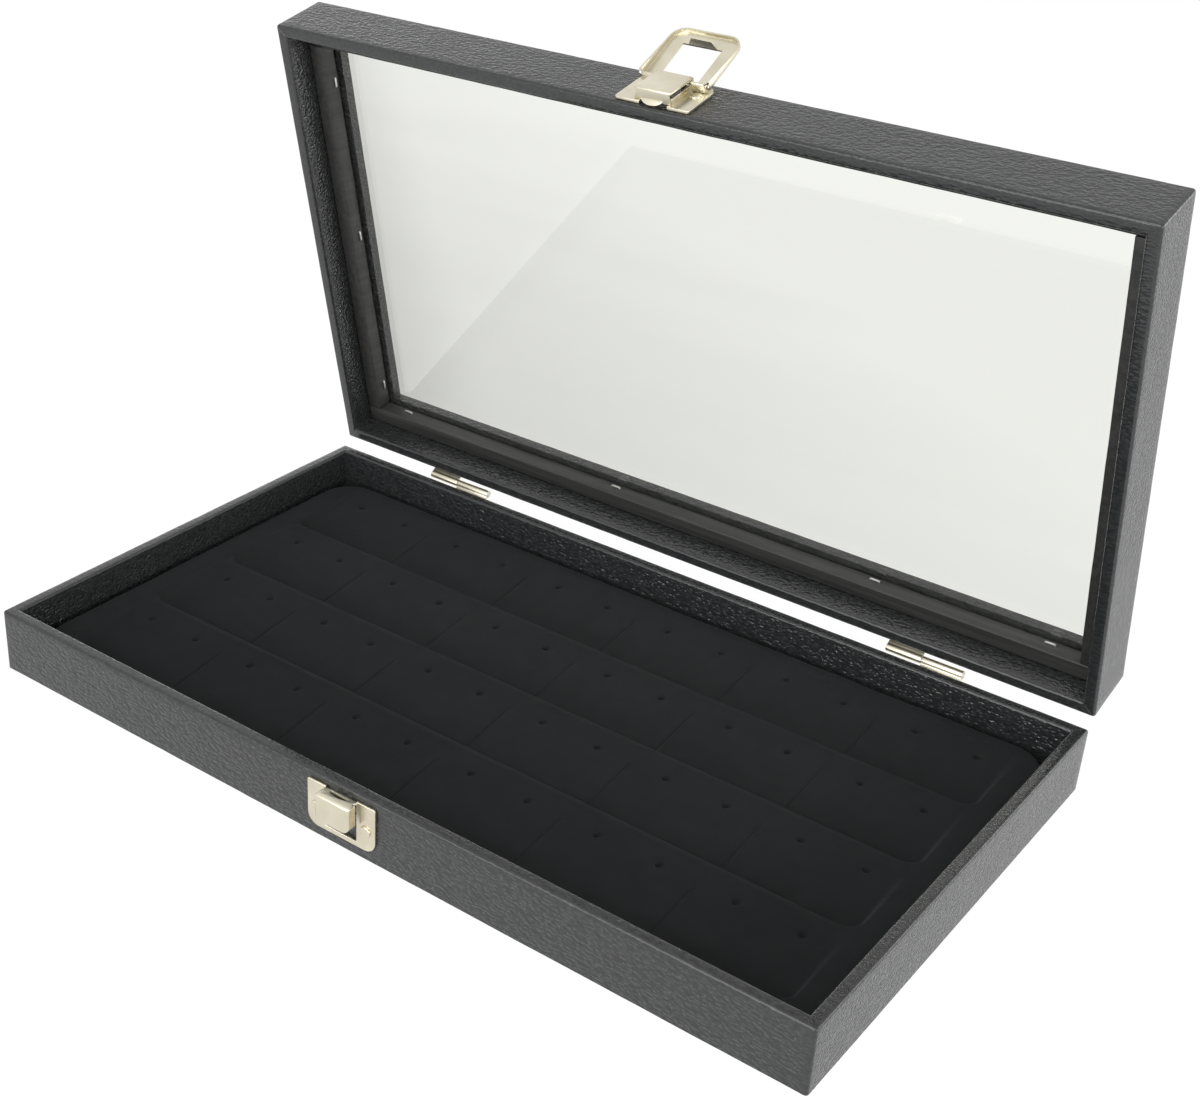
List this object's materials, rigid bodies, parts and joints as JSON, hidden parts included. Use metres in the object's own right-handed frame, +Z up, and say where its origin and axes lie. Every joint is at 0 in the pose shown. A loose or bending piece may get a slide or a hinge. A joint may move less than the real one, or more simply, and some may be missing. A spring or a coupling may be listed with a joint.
{
  "type": "jewelry display case",
  "caption": "Shallow hinged case with a glass-topped lid, a draw-bail latch and a lift-out flocked earring insert.",
  "frame": {"origin": "centre of the flat underside of the base", "axes": "+X to the right along the long side, +Y from the latch side to the hinge side, +Z up"},
  "size_m": [0.3746, 0.245, 0.2563],
  "materials": {
    "board": "bare fibreboard",
    "leatherette": "pebbled black leatherette",
    "strip_wood": "stained dark",
    "glass": "clear",
    "flock": "black flock over formed sheet",
    "nickel": "bright nickel plate",
    "steel": "bright drawn wire"
  },
  "bodies": {
    "base": {"base_covering": "leatherette", "base_floor": "board", "base_hinge_nail_1": "steel", "base_hinge_nail_2": "steel", "base_hinge_nail_3": "steel", "base_hinge_nail_4": "steel", "base_wall_back": "board", "base_wall_front": "board", "base_wall_left": "board", "base_wall_right": "board", "catch_plate": "nickel", "catch_rivet_1": "nickel", "catch_rivet_2": "nickel", "hinge_left_base_leaf": "nickel", "hinge_left_pin": "steel", "hinge_right_base_leaf": "nickel", "hinge_right_pin": "steel"},
    "insert": {"earring_insert": "flock"},
    "lid": {"bail_plate": "nickel", "bail_plate_rivet_1": "nickel", "bail_plate_rivet_2": "nickel", "glass_pane": "glass", "glass_strip_back": "strip_wood", "glass_strip_front": "strip_wood", "glass_strip_left": "strip_wood", "glass_strip_right": "strip_wood", "hinge_left_lid_leaf": "nickel", "hinge_right_lid_leaf": "nickel", "lid_covering": "leatherette", "lid_hinge_nail_1": "steel", "lid_hinge_nail_2": "steel", "lid_hinge_nail_3": "steel", "lid_hinge_nail_4": "steel", "lid_rail_back": "board", "lid_rail_front": "board", "lid_rail_left": "board", "lid_rail_right": "board", "strip_staple_back_1": "steel", "strip_staple_back_2": "steel", "strip_staple_back_3": "steel", "strip_staple_back_4": "steel", "strip_staple_front_1": "steel", "strip_staple_front_2": "steel", "strip_staple_front_3": "steel", "strip_staple_front_4": "steel", "strip_staple_left_1": "steel", "strip_staple_left_2": "steel", "strip_staple_left_3": "steel", "strip_staple_right_1": "steel", "strip_staple_right_2": "steel", "strip_staple_right_3": "steel"},
    "rod": {"bail_rod": "steel"},
    "bail": {"bail_frame": "nickel"}
  },
  "joints": [
    {"name": "lid_hinge", "type": "hinge", "parent": "base", "child": "lid", "pos_m": [0, 0.10783, 0.0275], "axis": [-1, 0, 0], "range_deg": [-77.6, 102]},
    {"name": "insert_lift", "type": "slide", "parent": "base", "child": "insert", "axis": [0, 0, 1], "range_m": [0, 0.02]},
    {"name": "bail_slide", "type": "slide", "parent": "lid", "child": "rod", "axis": [0, -0.9767, -0.2147], "range_m": [0, 0.0122]},
    {"name": "bail_hinge", "type": "hinge", "parent": "rod", "child": "bail", "pos_m": [-0.002, 0.07791, 0.24321], "axis": [1, 0, 0], "range_deg": [0, 162.4]}
  ],
  "couplings": [
    {"joint": "bail_slide", "follows": "bail_hinge", "m_per_rad": 0.004269}
  ]
}
